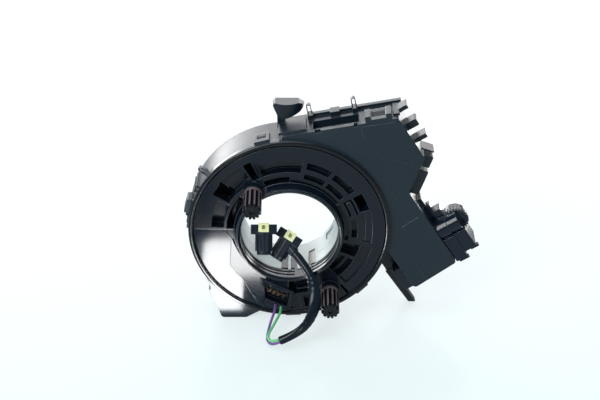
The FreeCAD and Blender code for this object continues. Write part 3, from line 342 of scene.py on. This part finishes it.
# A loop: its side in degrees, its foot's distance from the rotor's axis, its shift along the
# wall, its height and its front in Y.
STRIP_LOOPS = [(100.4, 57.2, -21.3, 4.8, 15.4), (100.4, 57.2, -44.2, 4.6, 15.4),
               (145.0, 52.7, 0.0, 3.6, 8.0)]


def capped(grid):
    """The same grid with its first and last row closed to their middles."""
    ends = [np.repeat(row.mean(0)[None, None], grid.shape[1], 1) for row in (grid[0], grid[-1])]
    return np.concatenate([ends[0], grid, ends[1]])


def strip_loop(side, foot, shift, height, front):
    """Strip carried along an arch: legs a bow's radius each side of the middle, joined by a half
    circle above them. Its section is a rounded rectangle, |cos|^0.25 across Y and |sin|^0.5
    through its thickness. The arch then turns about Y to its side of the case."""
    bow = np.linspace(0, np.pi, 15)
    rise = height + STRIP_PROUD - BOW_RADIUS
    along = np.r_[np.full(6, -BOW_RADIUS), -BOW_RADIUS * np.cos(bow[1:-1]),
                  np.full(6, BOW_RADIUS)]
    up = np.r_[np.linspace(0, rise, 6), rise + BOW_RADIUS * np.sin(bow[1:-1]),
               np.linspace(rise, 0, 6)]
    slope = np.stack([np.gradient(along), np.gradient(up)], 1)
    slope /= np.linalg.norm(slope, axis=1)[:, None]
    turn = np.linspace(0, 2 * np.pi, 20, endpoint=False)
    wide = np.sign(np.cos(turn)) * np.abs(np.cos(turn)) ** 0.25 * STRIP_WIDE / 2
    thin = np.sign(np.sin(turn)) * np.abs(np.sin(turn)) ** 0.5 * STRIP_THICK / 2
    across = along[:, None] - slope[:, 1:] * thin[None] + shift
    out = up[:, None] + slope[:, :1] * thin[None] + foot
    angle = math.radians(side)
    x = out * math.cos(angle) - across * math.sin(angle)
    z = out * math.sin(angle) + across * math.cos(angle)
    y = np.broadcast_to(front + STRIP_WIDE / 2 + wide, x.shape)
    return capped(np.stack([x, y, z], -1) * MM)


clips = skin("spring_strips", *[strip_loop(*loop) for loop in STRIP_LOOPS])
spring_strip = rolled_metal("spring_steel_strip", "#6C6E76", roughness=0.45, mark_mm=0.3)
dress(spring_strip, "spring_steel", clips)
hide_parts("spring_clips")
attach(clips, "case")

# The rotor: the disc with its hub, windows and stepped pockets, one moulding in black acetal.
# Acetal flows well and copies a smooth mould, so the disc has a wet gloss. The flat cable's
# inner end is welded in a block of the same acetal.
# Its edges carry a painted highlight in a lighter grey.
satin_acetal = moulded_plastic("black_acetal", "#0A131E", "#0E1824", roughness=0.17,
                               grain_mm=0.7, depth_mm=0.012, edge_mm=0.4, rim=EDGE_HIGHLIGHT_GLOSS,
                               IOR=1.48)
dress(satin_acetal, "rotor_plastic", node["rotor_disc"], node["rotor_terminal"])

# The two fluted acetal sleeves on the rotor's pins, which take up the play in the steering
# wheel's pockets. The crests of their flutes carry a painted highlight in a warm grey. Each crest
# is a pin's axis (X, Z), the radius where the painted highlight starts and the radius where it is
# full.
POST_CRESTS = [((-18.57, 23.94), 4.6, 4.9), ((21.3, -36.31), 4.6, 4.9)]
fluted_acetal = moulded_plastic("fluted_acetal", "#070C12", "#0A1017", roughness=0.1,
                                grain_mm=0.7, depth_mm=0.006, edge_mm=0.1, crests=POST_CRESTS,
                                IOR=1.5)
dress(fluted_acetal, "rotor_plastic", node["drive_post_upper"], node["drive_post_lower"])

# The front sleeve of the sensor's ring: it reaches forward inside the hub, thin natural acetal
# in one moulding with the ring, and is cut away where the hub's own fingers pass back beside
# it. The cuts are pairs of angles in degrees.
RING_SLEEVE_R = (25.24, 25.50)
RING_SLEEVE_Y = (2.4, 11.0)
RING_SLEEVE_STEP = 2               # degrees between two rows of its mesh
FINGERS = ((-99.0, -92.0), (-88.0, -81.0), (-66.0, -58.0), (60.0, 68.0), (150.0, 158.0))
FINGER_GAP = 0.3


def ring_sleeve_piece(first, last):
    """Bent plate between two angles: a rounded rectangle of radius and Y is carried round."""
    rows = max(4, int(abs(last - first) / RING_SLEEVE_STEP))
    angle = np.radians(np.linspace(first, last, rows))[:, None]
    radius = np.array([0.0, 0.05, 0.5, 0.95, 1.0, 1.0, 0.95, 0.5, 0.05, 0.0])
    depth = np.array([0.03, 0.0, 0.0, 0.0, 0.03, 0.97, 1.0, 1.0, 1.0, 0.97])
    radius = RING_SLEEVE_R[0] + (RING_SLEEVE_R[1] - RING_SLEEVE_R[0]) * radius
    depth = RING_SLEEVE_Y[0] + (RING_SLEEVE_Y[1] - RING_SLEEVE_Y[0]) * depth
    x = radius * np.cos(angle)
    return capped(np.stack([x, np.broadcast_to(depth, x.shape), radius * np.sin(angle)], -1) * MM)


starts = [end + FINGER_GAP for _, end in FINGERS]
ends = [start - FINGER_GAP for start, _ in FINGERS[1:]] + [FINGERS[0][0] + 360.0 - FINGER_GAP]
ring_sleeve = skin("ring_sleeve", *[ring_sleeve_piece(a, b) for a, b in zip(starts, ends)],
                   smooth=True)
dress(natural_acetal, "natural_plastic", ring_sleeve)
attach(ring_sleeve, "rotor")

# The lid over the place where the flat cable leaves the rotor: polished black polyamide, with
# the frame of the socket in the same moulding. It snaps into the rotor.
dress(polished_polyamide, "gloss_black", node["outlet_cover"])

# The airbag circuit's socket: an insulator moulded in black acetal, and four fork contacts
# punched from phosphor bronze, which has gone brown and dull and shows as dark gold.
dress(satin_acetal, "rotor_plastic", node["squib_socket"])
dull_bronze = rolled_metal("phosphor_bronze", "#6B5C44", roughness=0.42, mark_mm=0.3)
dress(dull_bronze, "contact_brass", node["squib_contacts"])

# The two airbag plugs, moulded in satin black polyester, each with a lock that is pushed into
# the slot of its head. The locks are bright yellow-green, so that a missing one is seen.
# Their edges carry a painted highlight in a lighter grey.
plug_polyester = moulded_plastic("plug_polyester", "#101E2B", "#152432", roughness=0.3,
                                 grain_mm=0.5, depth_mm=0.015, edge_mm=0.3, rim=EDGE_HIGHLIGHT,
                                 **{"Specular IOR Level": 0.3})
lock_polyester = moulded_plastic("lock_polyester", "#EDF5B8", "#F2F8C6", roughness=0.38,
                                 grain_mm=0.6, depth_mm=0.01, edge_mm=0.25)
dress(plug_polyester, "plug_plastic", node["plug_1"], node["plug_2"])
dress(lock_polyester, "lock_yellow", node["plug_lock_1"], node["plug_lock_2"])

# The harness sleeve: a soft black vinyl tube, pushed onto the second plug's stub. It hangs
# forward and down and curves back to the left, where it is open and the two wires enter it. It
# is pressed a little flat and creased where it bends, and the vinyl shines softly.
SLEEVE_D = 4.6 * MM
SLEEVE_WALL = 0.5 * MM
SLEEVE_POINTS = [(2.6, -0.5, -13.0), (7.1, -4.2, -16.9), (12.2, -10.4, -24.0),
                 (13.8, -16.8, -34.5), (9.6, -23.8, -42.6), (1.6, -27.2, -47.4),
                 (-5.1, -27.5, -50.3)]
CREASES = (0.27, 0.31, 0.36, 0.63, 0.68, 0.72)   # shares of the length
CREASE_DEPTH, CREASE_LONG = 0.05, 0.01           # shares of the radius and of the length
PRESSED, PRESSED_AT, PRESSED_LONG = 0.4, 0.55, 0.3
LIP_AT = 0.998                                   # the open end's edge is rounded from here on
LIP_ROUND = (0.1 * MM, 0.25 * MM)                # and drawn in by so much there and at the end
BORE_START = 0.93                                # the open bore is modelled from this share on


def spline(name, points_mm, diameter):
    """Smooth cord with those control points: a quadratic NURBS that starts and ends on them."""
    data = bpy.data.curves.new(name, "CURVE")
    data.dimensions = "3D"
    data.resolution_u = 16
    data.bevel_depth = diameter / 2
    data.bevel_resolution = 6
    data.use_fill_caps = diameter > 0
    line = data.splines.new("NURBS")
    line.points.add(len(points_mm) - 1)
    for point, place in zip(line.points, points_mm):
        point.co = [c * MM for c in place] + [1.0]
    line.order_u = 3
    line.use_endpoint_u = True
    made = bpy.data.objects.new(name, data)
    bpy.context.scene.collection.objects.link(made)
    return made


def route(points_mm, count):
    """Points spaced evenly along the smooth line of a cord, and the line's length."""
    guide = spline("route", points_mm, 0.0)
    bpy.context.view_layer.update()
    mesh = bpy.data.meshes.new_from_object(guide)
    line = np.array([v.co for v in mesh.vertices])
    bpy.data.objects.remove(guide)
    run = np.r_[0, np.cumsum(np.linalg.norm(np.diff(line, axis=0), axis=1))]
    even = np.linspace(0, run[-1], count)
    line = np.stack([np.interp(even, run, line[:, k]) for k in range(3)], 1)
    return line, float(np.linalg.norm(np.diff(line, axis=0), axis=1).sum())


def tube(name, line, stations, around=40):
    """Surface of a soft tube: at each station (share of the length, radius, flattening) a circle
    of that radius stands square to the line, on two directions across it: the first is square
    to the line and to a fixed direction, the second square to both. The last number presses the
    circle flat, and the power 1.2 on its height gives a pressed tube's two soft folds."""
    along = np.gradient(line, axis=0)
    along /= np.linalg.norm(along, axis=1)[:, None]
    side = np.cross(along, np.array([0.0, 1.0, 0.35]))
    side /= np.linalg.norm(side, axis=1)[:, None]
    up = np.cross(side, along)
    share, radius, flat = np.array(stations).T
    spot = np.linspace(0, 1, len(line))
    centre, u, v = [np.stack([np.interp(share, spot, field[:, k]) for k in range(3)], 1)
                    for field in (line, side, up)]
    turn = np.linspace(0, 2 * np.pi, around, endpoint=False)
    lens = np.sign(np.sin(turn)) * np.abs(np.sin(turn)) ** 1.2
    ring = (u[:, None] * np.cos(turn)[None, :, None] * (1 + flat)[:, None, None]
            + v[:, None] * lens[None, :, None] * (1 - flat)[:, None, None])
    return skin(name, centre[:, None] + radius[:, None, None] * ring, smooth=True)


sleeve_line, sleeve_length = route(SLEEVE_POINTS, 160)
outer, inner = SLEEVE_D / 2, SLEEVE_D / 2 - SLEEVE_WALL
shares = np.linspace(0.01, 0.99, 150)
creased = sum(np.exp(-((shares - at) / CREASE_LONG) ** 2) for at in CREASES)
pressed = PRESSED * np.exp(-((shares - PRESSED_AT) / PRESSED_LONG) ** 4)
stations = [(0.0, 0.0, 0.0), (0.0, outer, 0.0),
            *zip(shares, outer * (1 - CREASE_DEPTH * creased), pressed),
            (LIP_AT, outer - LIP_ROUND[0], 0.0), (1.0, outer - LIP_ROUND[1], 0.0),
            (LIP_AT, inner, 0.0), (BORE_START, inner, 0.0), (BORE_START, 0.0, 0.0)]
sleeve = tube("sleeve", sleeve_line, stations)
soft_vinyl = moulded_plastic("soft_vinyl", "#081722", "#0C1D29", roughness=0.22, grain_mm=0.9,
                             depth_mm=0.03, edge_mm=0.1, **{"Specular IOR Level": 0.28})
dress(soft_vinyl, "sleeve", sleeve)
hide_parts("harness_sleeve")
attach(sleeve, "rotor")

# The two wires of the airbag circuit, stranded copper in drawn vinyl, which is smooth and takes
# a plain shine; one is purple and one green. They leave the rotor's socket forwards, drop, and
# turn into the sleeve's open end side by side.
WIRE_D = 1.4 * MM
PURPLE_POINTS = [(-7.6, -2.4, -44.9), (-7.6, -6.6, -44.9), (-10.0, -12.6, -48.6),
                 (-11.4, -18.4, -51.4), (-11.9, -23.0, -52.9), (-10.2, -26.4, -53.2)]
GREEN_POINTS = [(-4.7, -2.4, -46.2), (-4.7, -7.0, -46.2), (-7.0, -12.7, -47.6),
                (-9.4, -18.3, -48.9), (-11.4, -22.8, -50.2), (-10.6, -26.4, -51.0)]
MOUTH_OFFSET = 0.9                 # how far each wire lies from the middle of the sleeve's mouth
MOUTH_RUN = 3.1                    # where it lines up with the sleeve, before the mouth
MOUTH_DEPTH = 2.2                  # how far it goes in
mouth = Vector(SLEEVE_POINTS[-1])
outward = (mouth - Vector(SLEEVE_POINTS[-2])).normalized()
beside = outward.cross(Vector((0, 1, 0))).normalized() * MOUTH_OFFSET


def wire(piece, name, points, side, colour, flow):
    """One insulated wire, from the socket into the sleeve, on one side of its mouth."""
    lane = mouth + beside * side
    ends = [tuple(lane + outward * MOUTH_RUN), tuple(lane - outward * MOUTH_DEPTH)]
    line, length = route(points + ends, 60)
    made = spline(piece, points + ends, WIRE_D)
    vinyl = moulded_plastic(name + "_vinyl", colour, flow, roughness=0.33, grain_mm=0.5,
                            depth_mm=0.01, edge_mm=0.05)
    dress(vinyl, name, made)
    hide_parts(name)
    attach(made, "rotor")


wire("purple_wire", "wire_purple", PURPLE_POINTS, 1, "#6A4592", "#754F9E")
wire("green_wire", "wire_green", GREEN_POINTS, -1, "#57BE77", "#63CB86")

# The stand: a pale, slightly glossy table. It shows white to the camera and a little less to
# the object's gloss, keeps a faint shadow and mirror image, and has a cool tint in front.
STAND_Z = cad_box[0][2]
TABLE_SIZE, TABLE_Y = 6.0, 0.6
CAMERA_SHARE = 0.7                 # plain white's share in what the camera sees of the table
GLOSS_SHARE = 0.85                 # and in what the object's gloss sees of it
CAMERA_WHITE, GLOSS_WHITE = 1.0, 0.36
TINT_FROM, TINT_TO = -0.7, -0.45   # the tint ends between these, from the table's middle in Y


def plane(name, size, place):
    """Flat square of the studio."""
    bpy.ops.mesh.primitive_plane_add(size=size, location=place)
    made = bpy.context.object
    made.name = name
    return made


table = plane("table", TABLE_SIZE, (0, TABLE_Y, STAND_Z))
pale, tree = new_material("pale_table")
rays = add(tree, "ShaderNodeLightPath", {}).outputs
seen = add(tree, "ShaderNodeMath", {0: rays["Is Camera Ray"], 1: CAMERA_SHARE},
           operation="MULTIPLY")
mirrored = add(tree, "ShaderNodeMath", {0: rays["Is Glossy Ray"], 1: rays["Is Transmission Ray"]},
               operation="MAXIMUM")
share = add(tree, "ShaderNodeMath", {0: mirrored.outputs["Value"], 1: GLOSS_SHARE,
                                     2: seen.outputs["Value"]}, operation="MULTIPLY_ADD")
top = add(tree, "ShaderNodeBsdfPrincipled", {"Base Color": linear("#DCEFF5"), "Roughness": 0.2,
                                             "Specular IOR Level": 0.3})
place = add(tree, "ShaderNodeTexCoord", {}).outputs["Object"]
back = add(tree, "ShaderNodeMapRange",
           {"Value": add(tree, "ShaderNodeSeparateXYZ", {"Vector": place}).outputs["Y"],
            "From Min": TINT_FROM, "From Max": TINT_TO})
tint = add(tree, "ShaderNodeMix", {"Factor": back.outputs["Result"], MIX_A: linear("#EFFCFD"),
                                   MIX_B: linear("#FFFFFF")}, data_type="RGBA")
bright = add(tree, "ShaderNodeMath", {0: rays["Is Camera Ray"], 1: CAMERA_WHITE - GLOSS_WHITE,
                                      2: GLOSS_WHITE}, operation="MULTIPLY_ADD")
white = add(tree, "ShaderNodeEmission", {"Color": tint.outputs[2],
                                         "Strength": bright.outputs["Value"]})
blend = add(tree, "ShaderNodeMixShader", {"Fac": share.outputs["Value"], 1: top.outputs["BSDF"],
                                          2: white.outputs["Emission"]})
add(tree, "ShaderNodeOutputMaterial", {"Surface": blend.outputs["Shader"]})
table.data.materials.append(pale)

# The room: plain white, at full strength to the camera alone, and weaker where it lights the
# object and where its gloss mirrors it.
CAMERA_ROOM, LIT_ROOM, GLOSS_ROOM = 1.0, 0.35, 0.2
world = bpy.data.worlds.new("white_room")
bpy.context.scene.world = world
world.use_nodes = True
tree = world.node_tree
tree.nodes.clear()
rays = add(tree, "ShaderNodeLightPath", {}).outputs
soft = add(tree, "ShaderNodeMath", {0: rays["Is Glossy Ray"], 1: GLOSS_ROOM - LIT_ROOM,
                                    2: LIT_ROOM}, operation="MULTIPLY_ADD")
level = add(tree, "ShaderNodeMath", {0: rays["Is Camera Ray"], 1: CAMERA_ROOM - LIT_ROOM,
                                     2: soft.outputs["Value"]}, operation="MULTIPLY_ADD")
room = add(tree, "ShaderNodeBackground", {"Color": linear("#FFFFFF"),
                                          "Strength": level.outputs["Value"]})
add(tree, "ShaderNodeOutputWorld", {"Surface": room.outputs["Background"]})

# The lamps: four softboxes turned towards the object, two behind it, one above and one at the
# front left. Each is a name, a place, a size in metres and a radiance.
SOFTBOXES = [("behind_low", (-0.25, 1.0, 0.12), (1.6, 0.35), 7.0),
             ("behind_high", (0.0, 0.9, 0.52), (1.4, 0.45), 2.6),
             ("overhead", (-0.1, -0.05, 1.0), (0.8, 0.8), 2.4),
             ("front_left", (-0.75, -0.9, 0.75), (0.7, 0.7), 8.0)]


def softbox(name, place, aim, size, radiance):
    """Area lamp at a place, turned towards a point; its power is radiance times pi times area."""
    data = bpy.data.lights.new(name, "AREA")
    data.shape = "RECTANGLE"
    data.size, data.size_y = size
    data.energy = radiance * math.pi * size[0] * size[1]
    made = bpy.data.objects.new(name, data)
    made.location = place
    made.rotation_euler = (Vector(aim) - Vector(place)).to_track_quat("-Z", "Y").to_euler()
    bpy.context.scene.collection.objects.link(made)
    return made


for name, place, size, radiance in SOFTBOXES:
    softbox(name, place, (0.0, 0.0, 0.0), size, radiance)

# The cards show in the object's gloss alone. Two white ones lie on the table, in front on the
# left and behind on the right, and face up; a small one low in front at the right lights the
# lid's slope. A matt black one beside the left card keeps the case's left edge dark.
CARD_Z, BLACK_CARD_Z = STAND_Z + 0.001, STAND_Z + 0.0012
BLACK_CARD_PLACE = (-0.070, -0.115, BLACK_CARD_Z)
BLACK_CARD_SIZE = (0.046, 0.08, 1.0)
# A card: its place, the point it faces, its size in metres, its radiance, its spread in degrees.
CARDS = {
    "card_left": ((-0.038, -0.041, CARD_Z), (-0.038, -0.041, 1.0), (0.024, 0.074), 27.0, 180.0),
    "card_behind": ((0.33, 0.475, CARD_Z), (0.33, 0.475, 1.0), (0.54, 0.65), 5.0, 180.0),
    "card_box": ((0.049, -0.124, -0.036), (-0.022, -0.005, -0.017), (0.045, 0.036), 0.55, 24.0),
}


def card(name, place, aim, size, radiance, spread):
    """Bright card turned towards a point, which shows in gloss alone."""
    made = softbox(name, place, aim, size, radiance)
    made.data.spread = math.radians(spread)
    made.visible_camera = False
    made.visible_diffuse = False


for name, facts in CARDS.items():
    card(name, *facts)
flag = plane("flag", 1.0, BLACK_CARD_PLACE)
flag.scale = BLACK_CARD_SIZE
flag.visible_camera = False
flag.visible_diffuse = False
flag.visible_shadow = False
black_card, tree = new_material("black_card")
matt = add(tree, "ShaderNodeBsdfPrincipled", {"Base Color": linear("#0B0D10"), "Roughness": 0.9,
                                              "Specular IOR Level": 0.1})
add(tree, "ShaderNodeOutputMaterial", {"Surface": matt.outputs["BSDF"]})
flag.data.materials.append(black_card)

# The camera: straight in front of the rotor, 30.5 degrees above the stand and turned down by as
# much. Its lens gives the photograph's scale.
FRAME_PX, FOCAL_PX = 600.0, 1556.0  # the frame's width, and how far off a pixel is a pixel wide
AIM_X, AIM_Z = 0.0055, 0.0187       # the point it looks at, which has Y 0
DISTANCE = 0.8
ELEVATION = math.radians(30.47)
camera_data = bpy.data.cameras.new("camera")
camera_data.sensor_width = 36.0
camera_data.lens = camera_data.sensor_width * FOCAL_PX / FRAME_PX
camera_data.clip_start = 0.05
camera_data.clip_end = 20.0
camera = bpy.data.objects.new("camera", camera_data)
camera.location = (AIM_X, -DISTANCE * math.cos(ELEVATION), AIM_Z + DISTANCE * math.sin(ELEVATION))
camera.rotation_euler = (math.pi / 2 - ELEVATION, 0, 0)
bpy.context.scene.collection.objects.link(camera)
bpy.context.scene.camera = camera
bpy.context.scene.view_settings.view_transform = "Standard"
